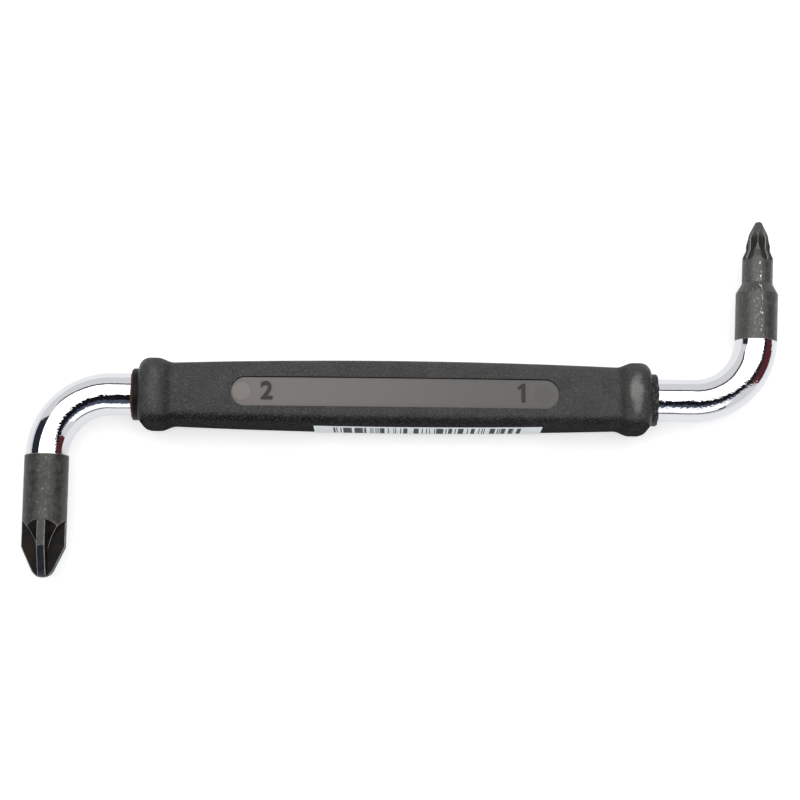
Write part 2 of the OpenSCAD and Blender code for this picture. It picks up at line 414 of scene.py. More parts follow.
steel.color(
    steel.layers(
        (0.036, 0.037, 0.034),
        (steel.ramp(mottle, 0.35, 0.68), (0.068, 0.068, 0.063)),
        (steel.ramp(drawn, 0.56, 0.72), (0.15, 0.15, 0.138)),
        (steel.ramp(specks, 0.66, 0.74), (0.40, 0.40, 0.38)),
        (highlight_streak_1, (0.26, 0.26, 0.235)),
        (highlight_streak_2, (0.26, 0.26, 0.235)),
        (rough_flank, (0.30, 0.30, 0.28)),
        (steel.ramp(steel_y, 0.0, MM, 0.0, 0.16), (0.20, 0.20, 0.20)),
        (steel.times(blued, 0.85), (0.010, 0.012, 0.022)),
        (chip, (0.62, 0.62, 0.59)),
        (steel.ramp(pointed, -0.03, -0.09), (0.022, 0.022, 0.021)),
        (bare_edge, (0.30, 0.30, 0.28)),
    )
)
steel.rough(steel.ramp(mottle, 0.3, 0.7, 0.40, 0.58))
steel.bump((drawn, 0.020 * MM), (specks, 0.020 * MM))

# %% [markdown]
# The milled faces
#
# The flutes are cut with a fine cutter before blackening. Their skin is smoother and darker than the
# drawn outside, with faint marks of the cutter across them. Near the size 1 nose they are painted paler,
# a painted reflection of light on the flute floors.

# %% Milled faces
milled = Finish("milled_black", (0.010, 0.010, 0.009), metallic=0.08, roughness=0.36)
milled.gloss(0.06)
heat = milled.noise(420.0, detail=2.0)
flute_y = milled.along("Y")
# Painted reflection: the flute floors are paler near the size 1 nose.
nose_reflection = milled.ramp(flute_y, tip_1_high.y - 3.2 * MM, tip_1_high.y - 1.9 * MM, 0.0, 0.85)
milled_edge = milled.times(
    milled.ramp(milled.attribute("pointed"), 0.04, 0.11), milled.ramp(flute_y, 0.0, MM, 1.0, 0.5)
)
milled.color(
    milled.layers(
        (0.006, 0.006, 0.0065),
        (milled.ramp(heat, 0.40, 0.65), (0.015, 0.0105, 0.0085)),
        (milled.ramp(flute_y, 0.0, MM, 0.0, 0.5), (0.050, 0.050, 0.048)),
        (nose_reflection, (0.085, 0.087, 0.078)),
        (milled_edge, (0.20, 0.20, 0.185)),
    )
)
milled.bump((milled.noise((1500.0, 5200.0, 1500.0)), 0.012 * MM))

# %% [markdown]
# Moulded plastic
#
# The handle's mould was spark eroded, which leaves a fine even grain. Black plastic is nearly black by
# itself: most of the grey is light that glances off the grain. The waists and the side walls are given
# less gloss, and the side walls get a paler grained grey painted in its place. Together these are a
# painted shade that keeps the lower side dark from every view. The waists are also painted darker, a
# painted shade in the hollows beside the collars. Where hands and pockets rub the two collars the grain
# is worn flatter, and there a pale oval is painted on as a painted highlight, stronger at the size 1
# end.

# %% Grained plastic
WAIST_X = half_len - 4.9 * MM
CREST_X = half_len - 2.6 * MM
grained = Finish("grained_plastic", (0.016, 0.016, 0.016), roughness=0.42)
grain = grained.noise(4600.0, roughness=0.75)
cloud = grained.noise(300.0, detail=4.0, roughness=0.6)
place_x = grained.along("X")
face_y = grained.faces("Y")
from_waist = grained.gap(grained.gap(place_x, mid_x), WAIST_X)
waist_painted_shade = grained.ramp(from_waist, 0.0, 1.3 * MM, 0.45, 0.0)
low_side = grained.ramp(face_y, -0.08, -0.64)
high_side = grained.ramp(face_y, 0.50, 0.85, 0.0, 0.6)
# Painted shade: gloss is taken off the waists and the side walls so that they look darker.
painted_dullness = grained.larger(waist_painted_shade, grained.larger(low_side, high_side))
grained.gloss(grained.ramp(painted_dullness, 0.0, 1.0, 0.40, 0.0))


def collar_highlight(middle_x, half_x, half_y, amount):
    """A soft oval of painted highlight on a collar, over grain worn flat."""
    ragged = grained.ramp(cloud, 0.3, 0.7, -0.35, 0.35)
    square = grained.math("ADD", grained.oval(middle_x, half_x, half_y), ragged)
    return grained.ramp(square, 0.0, 1.2, amount, 0.0)


# Painted highlight: a pale oval on each collar's crest, over grain that is worn flatter.
rubbed_highlight = grained.larger(
    collar_highlight(mid_x + CREST_X, 1.25 * MM, 4.2 * MM, 1.0),
    collar_highlight(mid_x - CREST_X, 1.3 * MM, 4.0 * MM, 0.25),
)
rubbed_highlight = grained.times(rubbed_highlight, grained.ramp(grain, 0.35, 0.60, 0.55, 1.0))
# Painted sheen: the side walls, which lost their gloss, get a paler grained grey in its place.
side_wall = grained.ramp(grained.math("ABSOLUTE", face_y), 0.75, 1.0, 0.0, 0.5)
painted_side_sheen = grained.mix(grained.ramp(grain, 0.42, 0.60), (0.026, 0.025, 0.027), (0.075, 0.074, 0.074))
grained.color(
    grained.layers(
        (0.013, 0.0138, 0.0138),
        (grained.ramp(place_x, -10 * MM, 30 * MM), (0.0235, 0.0220, 0.0220)),
        (grained.ramp(cloud, 0.35, 0.65, 0.0, 0.6), (0.007, 0.007, 0.007)),
        (grained.ramp(grain, 0.50, 0.64), (0.062, 0.061, 0.059)),
        # painted shade: the waists are darkened
        (grained.times(waist_painted_shade, 0.6), (0.004, 0.0042, 0.0045)),
        (side_wall, painted_side_sheen),
        (rubbed_highlight, (0.190, 0.186, 0.172)),
    )
)
grained.rough(grained.ramp(cloud, 0.3, 0.7, 0.38, 0.50))
grained.bump((grain, 0.11 * MM))

# %% [markdown]
# The panel's plastic
#
# The panel comes from a polished insert in the mould, so it is smooth. It is painted paler than the
# grained body, a painted sheen of the softbox on that smooth face, and it is paler at the size 2 end
# than at the size 1 end. Two round marks show where ejector pins touched it, one paler than the panel
# and one darker, each with a thin dark rim.

# %% Satin panel
FADE_REACH = 27 * MM
PIN_R = 1.62 * MM
PIN_2_X = mid_x - 25.15 * MM
PIN_1_X = mid_x + 24.15 * MM
satin = Finish("satin_plastic", (0.14, 0.13, 0.12), roughness=0.42)
flow = satin.noise((60.0, 500.0, 60.0), roughness=0.55)
fade = satin.ramp(satin.along("X"), mid_x - FADE_REACH, mid_x + FADE_REACH)
# Painted sheen: the panel's pale tones, paler towards the size 2 end.
pale_sheen = satin.mix(fade, (0.125, 0.111, 0.103), (0.072, 0.069, 0.063))
deep_sheen = satin.mix(fade, (0.105, 0.093, 0.086), (0.058, 0.055, 0.051))
panel_tone = satin.mix(satin.ramp(flow, 0.3, 0.7), deep_sheen, pale_sheen)
for pin_x, pin_tone in ((PIN_2_X, (0.160, 0.145, 0.136)), (PIN_1_X, (0.044, 0.042, 0.039))):
    from_pin = satin.math("SQRT", satin.oval(pin_x, 1.0, 1.0))
    from_rim = satin.math("SUBTRACT", from_pin, PIN_R)
    rim = satin.ramp(satin.math("ABSOLUTE", from_rim), 0.0, 0.10 * MM, 0.45, 0.0)
    panel_tone = satin.layers(
        panel_tone,
        (satin.ramp(from_rim, 0.0, -0.3 * MM, 0.0, 0.6), pin_tone),
        (rim, (0.045, 0.041, 0.038)),
    )
satin.color(panel_tone)
satin.rough(satin.ramp(flow, 0.3, 0.7, 0.40, 0.50))
satin.bump((satin.noise(2500.0, detail=2.0), 0.004 * MM))

# %% [markdown]
# Groove and numbers
#
# The numbers stand in the panel and are as matt as the rest of the moulding. The groove beside the panel
# is near black, a painted shadow line that stays dark from every side.

# %% Groove and numbers
number_skin = Finish("number_skin", (0.026, 0.0215, 0.018), roughness=0.5)
number_skin.gloss(0.25)
number_skin.bump((number_skin.noise(4600.0, detail=2.0), 0.05 * MM))
# Painted shadow: the groove's finish is near black, standing in for the shadow under the panel's far
# wall.
shadow_line = Finish("groove_painted_shadow", (0.006, 0.006, 0.006), roughness=0.7)
shadow_line.bump((shadow_line.noise(3000.0), 0.02 * MM))

# %% [markdown]
# The rings' plastic
#
# The ring at the size 2 end is near black, with a brown rim where it meets the bar, a painted reflection
# of brown surroundings. The one at the size 1 end was torn in trimming, so its rim is frayed, and it is
# coloured grey.

# %% Ring plastic
ring_plastic = Finish("ring_plastic", (0.010, 0.009, 0.009), roughness=0.5)
ring_plastic.gloss(0.12)
torn = ring_plastic.noise(2200.0, detail=4.0, roughness=0.65)
ring_x = ring_plastic.along("X")
# Painted reflection: a brown rim on the size 2 ring, where brown surroundings show in it.
brown_reflection = ring_plastic.ramp(ring_x, ring_2_low.x + 0.50 * MM, ring_2_low.x + 0.20 * MM, 0.0, 0.9)
dark_tone = ring_plastic.layers(
    (0.004, 0.004, 0.004),
    (ring_plastic.ramp(torn, 0.45, 0.75), (0.010, 0.009, 0.009)),
    (brown_reflection, (0.085, 0.026, 0.015)),
)
grey_tone = ring_plastic.mix(
    ring_plastic.ramp(torn, 0.42, 0.70), (0.012, 0.012, 0.012), (0.088, 0.084, 0.079)
)
at_size_1 = ring_plastic.math("GREATER_THAN", ring_x, 0.0)
ring_plastic.color(ring_plastic.mix(at_size_1, dark_tone, grey_tone))
ring_plastic.bump((torn, 0.06 * MM))

# %% [markdown]
# Label paper
#
# The retail label has a field of dark bars. Here their widths are drawn by chance from white noise,
# so they encode nothing: the length is cut into cells of a sixth of a millimetre, each cell is dark
# or pale by its own chance, and two coarser noises leave gaps and join some cells into broad bars.

# %% Label paper
label_paper = Finish("label_paper", (0.56, 0.62, 0.62), roughness=0.6)
label_paper.gloss(0.1)
label_x = label_paper.along("X")
label_z = label_paper.along("Z")


def chance(cell, seed):
    """One number by chance for each cell along the label."""
    count = label_paper.math("FLOOR", label_paper.math("DIVIDE", label_x, cell))
    feeds = {"W": label_paper.math("ADD", count, seed)}
    return label_paper.node("ShaderNodeTexWhiteNoise", feeds, noise_dimensions="1D").outputs["Value"]


def inside(socket, low, high):
    """1 where the value of socket lies between low and high, else 0."""
    above = label_paper.math("GREATER_THAN", socket, low)
    return label_paper.times(above, label_paper.math("LESS_THAN", socket, high))


narrow = label_paper.math("GREATER_THAN", chance(0.17 * MM, 40.0), 0.58)
broad = label_paper.math("GREATER_THAN", chance(0.62 * MM, 90.0), 0.74)
filled = label_paper.math("LESS_THAN", chance(0.55 * MM, 17.0), 0.72)
bars = label_paper.larger(label_paper.times(narrow, filled), broad)
field = label_paper.times(
    inside(label_x, label_low.x + 3.2 * MM, label_high.x - 3.1 * MM),
    inside(label_z, label_low.z + 0.5 * MM, label_high.z - 0.7 * MM),
)
fibre = label_paper.noise(1800.0)
uneven = label_paper.ramp(fibre, 0.3, 0.7)
paper_tone = label_paper.mix(uneven, (0.78, 0.84, 0.85), (0.87, 0.91, 0.91))
ink_tone = label_paper.mix(uneven, (0.012, 0.015, 0.020), (0.030, 0.034, 0.040))
label_paper.color(label_paper.mix(label_paper.times(bars, field), paper_tone, ink_tone))
label_paper.bump((fibre, 0.006 * MM))

# %% [markdown]
# The bar
#
# A bent bar is a circle drawn along a path. It starts as a flat circle at the size 2 seam. Spinning
# it round the bend's centre makes the first bend, extruding makes the straight run through the
# handle, and a second spin makes the other bend.

# %% Bar
BAR_SIDES = 96
BEND_STEPS = 60

bpy.ops.mesh.primitive_circle_add(
    vertices=BAR_SIDES,
    radius=bar_r,
    fill_type="NGON",
    location=(arm_2_x, -bend_r, axis_z),
    rotation=(math.pi / 2, 0, 0),
)
bar = started("bar")
edit(bar, "SELECT")
bpy.ops.mesh.spin(
    steps=BEND_STEPS, angle=math.pi / 2, center=(bend_2_x, -bend_r, axis_z), axis=(0, 0, 1)
)
pull((bend_1_x - bend_2_x, 0, 0))
bpy.ops.mesh.spin(
    steps=BEND_STEPS,
    angle=math.pi / 2 - lean_1,
    center=(bend_1_x, bend_r, axis_z),
    axis=(0, 0, -1),
)
done()
tidy_mesh(bar)
finish_piece(bar, chrome.material, "chromed_steel", "blade_bar", smooth=40)

# %% [markdown]
# The handle
#
# The handle is one moulding of square section with rounded corners: a collar at each end, a waist
# beside each collar, and a middle that is slightly fuller again. First comes a formula for its
# thickness at any place, because the panel and the numbers need it too.

# %% Handle profile
EDGE_ROUND = 2.0 * MM
CREST = 1.2 * MM
SLOPE = 2.8 * MM
WAIST_DROP = 0.7 * MM
BELLY_RISE = 0.6 * MM
CORNER_SHARE = 2.2 / 5.6
CORNER_STEPS = 10
END_STEPS = 10
SLOPE_STEPS = 12
BELLY_STEPS = 15
waist_x = half_len - EDGE_ROUND - CREST - SLOPE
belly_r = (waist_x**2 + BELLY_RISE**2) / (2 * BELLY_RISE)


def belly(x):
    """Half the handle's thickness in its middle part, x from the middle."""
    drop = belly_r - math.sqrt(belly_r**2 - x**2)
    return half_collar - WAIST_DROP + BELLY_RISE - drop


def half_at(x):
    """Half the handle's thickness at x from its middle."""
    t = half_len - abs(x)
    if t < EDGE_ROUND:
        return half_collar - EDGE_ROUND + math.sqrt(EDGE_ROUND**2 - (EDGE_ROUND - t) ** 2)
    if t < EDGE_ROUND + CREST:
        return half_collar
    if t < EDGE_ROUND + CREST + SLOPE:
        s = (t - EDGE_ROUND - CREST) / SLOPE
        return half_collar + (belly(x) - half_collar) * (1 - math.cos(math.pi * s)) / 2
    return belly(x)


def rounded(i):
    """How far loop i of a rounded edge is from the handle's end."""
    return EDGE_ROUND * (1 - math.cos(math.pi / 2 * i / END_STEPS))


def stations():
    """Places along the handle, from the size 2 end to the size 1 end."""
    end = [rounded(i) for i in range(END_STEPS + 1)]
    end += [EDGE_ROUND + CREST * i / 2 for i in (1, 2)]
    end += [EDGE_ROUND + CREST + SLOPE * i / SLOPE_STEPS for i in range(1, SLOPE_STEPS + 1)]
    belly_places = [waist_x * (i / BELLY_STEPS - 1) for i in range(1, 2 * BELLY_STEPS)]
    return [t - half_len for t in end] + belly_places + [half_len - t for t in reversed(end)]


# %% [markdown]
# The handle's body
#
# A square whose four corners are bevelled is pulled along the bar, station by station, and resized at
# each one.

# %% Handle body
places = stations()
first_half = half_at(places[0])
bpy.ops.mesh.primitive_plane_add(
    size=2 * first_half, location=(mid_x + places[0], 0, axis_z), rotation=(0, math.pi / 2, 0)
)
handle = started("handle_moulding")
edit(handle, "SELECT")
bpy.ops.mesh.bevel(
    offset=first_half * CORNER_SHARE, segments=CORNER_STEPS, affect="VERTICES", profile=0.5
)
for before, place in zip(places, places[1:]):
    pull((place - before, 0, 0))
    ratio = half_at(place) / half_at(before)
    bpy.ops.transform.resize(
        value=(1, ratio, ratio), center_override=(mid_x + place, 0, axis_z)
    )
done()
tidy_mesh(handle)

# %% [markdown]
# The rounded ends
#
# At the very ends the square turns into a circle, so that the ring round the bar sits in a round
# face. The last few loops are pulled towards a circle, the outermost ones the most.

# %% Round the handle's ends
ROUND_SHARE = 0.95
ROUND_LOOPS = 8
for side in (-1, 1):
    for i in range(ROUND_LOOPS):
        t = rounded(i)
        x = mid_x + side * (half_len - t)
        edit(handle)
        pick_points(handle, lambda co: abs(co.x - x) < 0.01 * MM)
        bpy.ops.transform.tosphere(value=ROUND_SHARE * (1 - t / EDGE_ROUND) ** 2)
        done()
handle.data.materials.append(grained.material)
skin = copy_of(handle, "handle_skin")

# %% [markdown]
# The bore
#
# The plastic is moulded round the bar. Where the rings sit, the bore is wider.

# %% Bore
BAR_GAP = 0.02 * MM
RING_GAP = 0.01 * MM
for low_x, high_x, radius in (
    (handle_low.x - MM, handle_high.x + MM, bar_r + BAR_GAP),
    (handle_low.x - MM, ring_2_high.x, (ring_2_high.z - ring_2_low.z) / 2 + RING_GAP),
    (ring_1_low.x, handle_high.x + MM, (ring_1_high.z - ring_1_low.z) / 2 + RING_GAP),
):
    bpy.ops.mesh.primitive_cylinder_add(
        vertices=BAR_SIDES,
        radius=radius,
        depth=high_x - low_x,
        location=((low_x + high_x) / 2, 0, axis_z),
        rotation=(0, math.pi / 2, 0),
    )
    drill = started("drill")
    drill.data.materials.append(grained.material)
    cut(handle, drill)

# %% [markdown]
# The sunk panel
#
# The panel's floor follows the handle's belly, a third of a millimetre below it. So the cutter is a
# prism with round ends, from which a slightly thinner copy of the handle has been taken away. A second,
# crescent cutter leaves a fine groove along the far edge, finished near black as a painted shadow line.

# %% Sunk panel
PANEL_DEPTH = 0.3 * MM
PANEL_LEN = 53.8 * MM
PANEL_H = 4.9 * MM
GROOVE_W = 0.16 * MM
GROOVE_DEPTH = 0.3 * MM
PANEL_SIDES = 48


def panel_prism(name, low_z, high_z, finish):
    """A prism with the panel's outline, standing on low_z."""
    bpy.ops.mesh.primitive_circle_add(
        vertices=PANEL_SIDES, radius=PANEL_H / 2, fill_type="NGON", location=(mid_x, 0, low_z)
    )
    prism = started(name)
    for side in (-1, 1):
        edit(prism)
        pick_points(prism, lambda co: side * (co.x - mid_x) > 0.01 * PANEL_H)
        bpy.ops.transform.translate(value=(side * (PANEL_LEN - PANEL_H) / 2, 0, 0))
        done()
    edit(prism, "SELECT")
    pull((0, 0, high_z - low_z))
    done()
    tidy_mesh(prism)
    prism.data.materials.append(finish.material)
    return prism


def thinner(depth, finish):
    """A copy of the handle's outside, depth smaller all round."""
    inner = copy_of(skin, "thin_handle")
    edit(inner, "SELECT")
    bpy.ops.transform.shrink_fatten(value=-depth)
    done()
    inner.data.materials.clear()
    inner.data.materials.append(finish.material)
    return inner


above_handle = axis_z + 2 * half_collar
panel_cutter = panel_prism("panel_cutter", axis_z, above_handle, satin)
cut(panel_cutter, thinner(PANEL_DEPTH, satin))
cut(handle, panel_cutter)
groove_cutter = panel_prism("groove_cutter", axis_z, above_handle, shadow_line)
kept = panel_prism("kept", axis_z - MM, above_handle + MM, shadow_line)
only(kept)
bpy.ops.transform.translate(value=(0, -GROOVE_W, 0))
settle(kept)
cut(groove_cutter, kept)
cut(groove_cutter, thinner(PANEL_DEPTH + GROOVE_DEPTH, shadow_line))
cut(handle, groove_cutter)
bpy.data.objects.remove(skin)

# %% [markdown]
# Marks of the mould
#
# Round ejector pins pushed the moulding out of its tool. Each left a disc in the panel, a few
# hundredths of a millimetre above the floor.

# %% Ejector marks
PIN_STEP = 0.03 * MM
for pin_x in (PIN_2_X, PIN_1_X):
    top = axis_z + half_at(pin_x - mid_x) - PANEL_DEPTH + PIN_STEP
    bpy.ops.mesh.primitive_cylinder_add(
        vertices=64, radius=PIN_R, depth=MM, location=(pin_x, 0, top - MM / 2)
    )
    pin = started("ejector_mark")
    pin.data.materials.append(satin.material)
    cut(handle, pin, "UNION")

# %% [markdown]
# The size numbers
#
# A plain raised number tells which end is which. A text is typed, made a mesh, given its height and
# joined to the moulding. The typeface's 1 is a bare stroke, so a small sloped flag is added to it.

# %% Size numbers
NUMBER_X = 21.0 * MM
NUMBER_Y = 0.15 * MM
NUMBER_H = 3.0 * MM
NUMBER_T = 0.6 * MM
NUMBER_SUNK = 0.04 * MM
FLAG_LEN = 0.95 * MM
FLAG_W = 0.42 * MM
FLAG_SLOPE = math.radians(38)
for word, number_x in (("2", -NUMBER_X), ("1", NUMBER_X)):
    top = axis_z + half_at(number_x) - NUMBER_SUNK
    bpy.ops.object.text_add(location=(0, 0, 0))
    number = bpy.context.object
    number.data.body = word
    number.data.align_x = "CENTER"
    number.data.align_y = "CENTER"
    number.data.size = 1.0
    number.data.offset = 0.02
    number.data.extrude = 0.1
    only(number)
    bpy.ops.object.convert(target="MESH")
    number = bpy.context.object
    ratio = NUMBER_H / number.dimensions.y
    number.scale = (ratio, ratio, NUMBER_T / number.dimensions.z)
    settle(number)
    low_y = min(v.co.y for v in number.data.vertices)
    high_z = max(v.co.z for v in number.data.vertices)
    number.location = (mid_x + number_x, -low_y - NUMBER_H / 2 + NUMBER_Y, top - high_z)
    settle(number)
    if word == "1":
        flag_at = (mid_x + number_x - 0.48 * MM, 1.17 * MM, top - NUMBER_T / 2)
        bpy.ops.mesh.primitive_cube_add(size=1, location=flag_at)
        flag = started("flag", (FLAG_LEN, FLAG_W, NUMBER_T))
        bpy.ops.transform.rotate(value=-FLAG_SLOPE, orient_axis="Z", center_override=flag_at)
        settle(flag)
        cut(number, flag, "UNION")
    tidy_mesh(number)
    number.data.materials.clear()
    number.data.materials.append(number_skin.material)
    cut(handle, number, "UNION")
print("handle with its numbers:", len(handle.data.polygons), "faces")

# %% [markdown]
# The handle's shading
#
# The cuts leave long thin faces beside large ones. Weighted normals let the large faces say how the
# light runs, so the flat sides look flat and only the rounded corners shade round.

# %% Finish the handle
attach(handle, BODY)
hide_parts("handle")
only(handle)
bpy.ops.object.shade_smooth_by_angle(angle=math.radians(30))
modify(handle, "WEIGHTED_NORMAL", keep_sharp=True)

# %% [markdown]
# The ribbed cross tips
#
# A tip is turned first and milled afterwards, so it is made the same way here. A circle is pulled up
# station by station, as on a lathe. Then a round cutter takes out the flutes: its flat run gives the
# floor of a flute, its rim the curved end. Two thin walls stay between the cuts, the wings, and where
# two floors meet a rib is left. Rebuilding the tip from small voxels and smoothing it rounds its
# edges, and gives the even mesh that worn edges are read from.

# %% Turning and milling
TIP_SIDES = 128
VOXEL = 0.085 * MM
MILLED_BELOW = 0.07 * MM
NOSE_FACE = 0.1 * MM
DENT = 0.022 * MM
COARSE_DENTS = 700
FINE_DENTS = 2100
NOSE_STEPS = 8
WHEEL_SIDES = 160


def turned(name, profile, sides=TIP_SIDES, fill="NGON"):
    """A turned piece that stands on z = 0. The profile is a list of (radius, z)."""
    radius, z = profile[0]
    bpy.ops.mesh.primitive_circle_add(
        vertices=sides, radius=radius, fill_type=fill, location=(0, 0, z)
    )
    piece = started(name)
    edit(piece, "SELECT")
    for next_radius, next_z in profile[1:]:
        pull((0, 0, next_z - z))
        ratio = next_radius / radius
        bpy.ops.transform.resize(value=(ratio, ratio, 1), center_override=(0, 0, next_z))
        radius, z = next_radius, next_z
    done()
    tidy_mesh(piece)
    return piece


def nose(flat_r, nose_r, taper, full_r):
    """The rounded end and the taper of a tip, up to its full radius."""
    points = []
    for i in range(NOSE_STEPS + 1):
        a = math.radians(-90) + (math.radians(90) - taper) * i / NOSE_STEPS
        points.append((flat_r + nose_r * math.cos(a), nose_r + nose_r * math.sin(a)))
    taper_len = (full_r - flat_r - nose_r * math.cos(taper)) / math.tan(taper)
    return points + [(full_r, nose_r * (1 - math.sin(taper)) + taper_len)]


def mill(tip, wing, core, cutter_r, rise, width):
    """Mills four flutes, each in two halves beside a wing."""
    for quarter in range(4):
        for side in (-1, 1):
            middle_y = side * (wing + width) / 2
            bpy.ops.mesh.primitive_cylinder_add(
                vertices=WHEEL_SIDES,
                radius=cutter_r,
                depth=width,
                location=(core + cutter_r, middle_y, rise),
                rotation=(math.pi / 2, 0, 0),
            )
            wheel = started("wheel")
            bpy.ops.mesh.primitive_cube_add(
                size=1, location=(core + cutter_r, middle_y, (rise - width) / 2)
            )
            run = started("run", (2 * cutter_r, width, rise + width))
            cut(wheel, run, "UNION")
            only(wheel)
            bpy.ops.transform.rotate(
                value=-quarter * math.pi / 2, orient_axis="Z", center_override=(0, 0, 0)
            )
            settle(wheel)
            cut(tip, wheel)


def outline_radius(profile, z):
    """The radius of the turned blank at z."""
    for (low_r, low_z), (high_r, high_z) in zip(profile, profile[1:]):
        if low_z <= z < high_z:
            return low_r + (high_r - low_r) * (z - low_z) / (high_z - low_z)
    return profile[-1][0]


def evened(values, links):
    """Each value averaged with those of its neighbours."""
    sums = list(values)
    counts = [1] * len(values)
    for a, b in links:
        sums[a] += values[b]
        sums[b] += values[a]
        counts[a] += 1
        counts[b] += 1
    return [total / count for total, count in zip(sums, counts)]


def mark_points(obj):
    """Tells each vertex how pointed the mesh is there: over 0 on an edge, under 0 in a hollow."""
    mesh = obj.data
    places = [vert.co.copy() for vert in mesh.vertices]
    normals = [vert.normal.copy() for vert in mesh.vertices]
    links = [tuple(edge.vertices) for edge in mesh.edges]
    sums = [0.0] * len(places)
    counts = [0] * len(places)
    for a, b in links:
        along = (places[b] - places[a]).normalized()
        sums[a] -= along.dot(normals[a])
        sums[b] += along.dot(normals[b])
        counts[a] += 1
        counts[b] += 1
    values = [total / max(count, 1) for total, count in zip(sums, counts)]
    values = evened(evened(values, links), links)
    mesh.attributes.new("pointed", "FLOAT", "POINT").data.foreach_set("value", values)
    print(obj.name, "most pointed", round(max(values), 3), "most hollow", round(min(values), 3))


def worn(tip, profile):
    """Rounds a milled tip's edges. Gives back the faces that the cutter made."""
    tidy_mesh(tip)
    modify(tip, "REMESH", mode="VOXEL", voxel_size=VOXEL)
    modify(tip, "SMOOTH", factor=0.5, iterations=2)
    outwards = [vert.normal.copy() for vert in tip.data.vertices]
    for vert, normal in zip(tip.data.vertices, outwards):
        coarse = noise.noise(vert.co * COARSE_DENTS)
        fine = noise.noise(vert.co * FINE_DENTS)
        vert.co += DENT * (0.6 * coarse + 0.4 * fine) * normal
    mark_points(tip)
    cut_faces = []
    for face in tip.data.polygons:
        x, y, z = face.center
        if z > NOSE_FACE and math.hypot(x, y) < outline_radius(profile, z) - MILLED_BELOW:
            cut_faces.append(face.index)
    return cut_faces


def stand(tip, end, lean, clock):
    """Stands a tip on its arm: its end at end, its axis leaning from +Y by lean towards +X."""
    away = Vector((math.sin(lean), math.cos(lean), 0))
    across = Vector((math.cos(lean), -math.sin(lean), 0))
    frame_of_tip = Matrix((across, Vector((0, 0, 1)), -away)).transposed()
    turn = frame_of_tip @ Matrix.Rotation(clock, 3, "Z")
    tip.matrix_world = Matrix.Translation(end) @ turn.to_4x4()
    settle(tip)


# %% [markdown]
# The size 2 tip
#
# It is as thick as the bar, with broad wings and a rounded taper. One wing points straight up at the
# camera, so its clock angle is nought.

# %% Size 2 tip
tip_2_r = (tip_2_high.z - tip_2_low.z) / 2
tip_2_len = tip_2_high.y - tip_2_low.y
profile_2 = nose(flat_r=0.1 * MM, nose_r=1.95 * MM, taper=math.radians(25), full_r=tip_2_r)
profile_2.append((tip_2_r, tip_2_len))
tip_2 = turned("size_2_tip", profile_2)
mill(tip_2, wing=1.35 * MM, core=0.8 * MM, cutter_r=8 * MM, rise=3.2 * MM, width=8 * MM)
milled_2 = worn(tip_2, profile_2)
stand(tip_2, (arm_2_x, tip_2_low.y, axis_z), math.pi, 0.0)

# %% [markdown]
# The size 1 tip
#
# It is turned down in two steps, a neck and then the narrow cross, and it leans a little with its
# arm. It is turned by about a third of a right angle, so one flute and its rib face the camera.

# %% Size 1 tip
CROSS_1_R = 2.0 * MM
NECK_1_R = 2.55 * MM
CONE_1_LEN = 1.7 * MM
CLOCK_1 = math.radians(-34.5)
tip_1_len = (tip_1_high.y - seam_1_y) / math.cos(lean_1)
profile_1 = nose(flat_r=0.25 * MM, nose_r=0.4 * MM, taper=math.radians(25.5), full_r=CROSS_1_R) + [
    (CROSS_1_R, 5.1 * MM),
    (NECK_1_R, 6.3 * MM),
    (NECK_1_R, tip_1_len - BASE_1_LEN - CONE_1_LEN),
    (base_1_r, tip_1_len - BASE_1_LEN),
    (base_1_r, tip_1_len),
]
tip_1 = turned("size_1_tip", profile_1)
mill(tip_1, wing=0.5 * MM, core=1.12 * MM, cutter_r=12.6 * MM, rise=1.3 * MM, width=8 * MM)
milled_1 = worn(tip_1, profile_1)
arm_1 = Vector((math.sin(lean_1), math.cos(lean_1), 0))
stand(tip_1, Vector((arm_1_x, seam_1_y, axis_z)) + tip_1_len * arm_1, lean_1, CLOCK_1)

# %% [markdown]
# The tips' two finishes
#
# A tip is one piece with two finishes: the drawn outside, and the faces that the cutter made. Each
# finish has a place in the list of materials, and the milled faces are sent to the second.

# %% Finish the tips
for tip, node, milled_faces in ((tip_2, "tip_size_2", milled_2), (tip_1, "tip_size_1", milled_1)):
    finish_piece(tip, steel.material, "blackened_steel", node, smooth=60)
    tip.data.materials.append(milled.material)
    for index in milled_faces:
        tip.data.polygons[index].material_index = 1
    reach = [1000 * vert.co.y for vert in tip.data.vertices]
    print(f"{tip.name} from {min(reach):.2f} to {max(reach):.2f} mm")

# %% [markdown]
# The end rings
#
# At each end of the handle a dark ring lies round the bar. It was trimmed by hand, so its rim is
# uneven. The ring is turned like the tips, and then its rim's points are moved by a smooth noise.

# %% End rings
RING_SIDES = 120


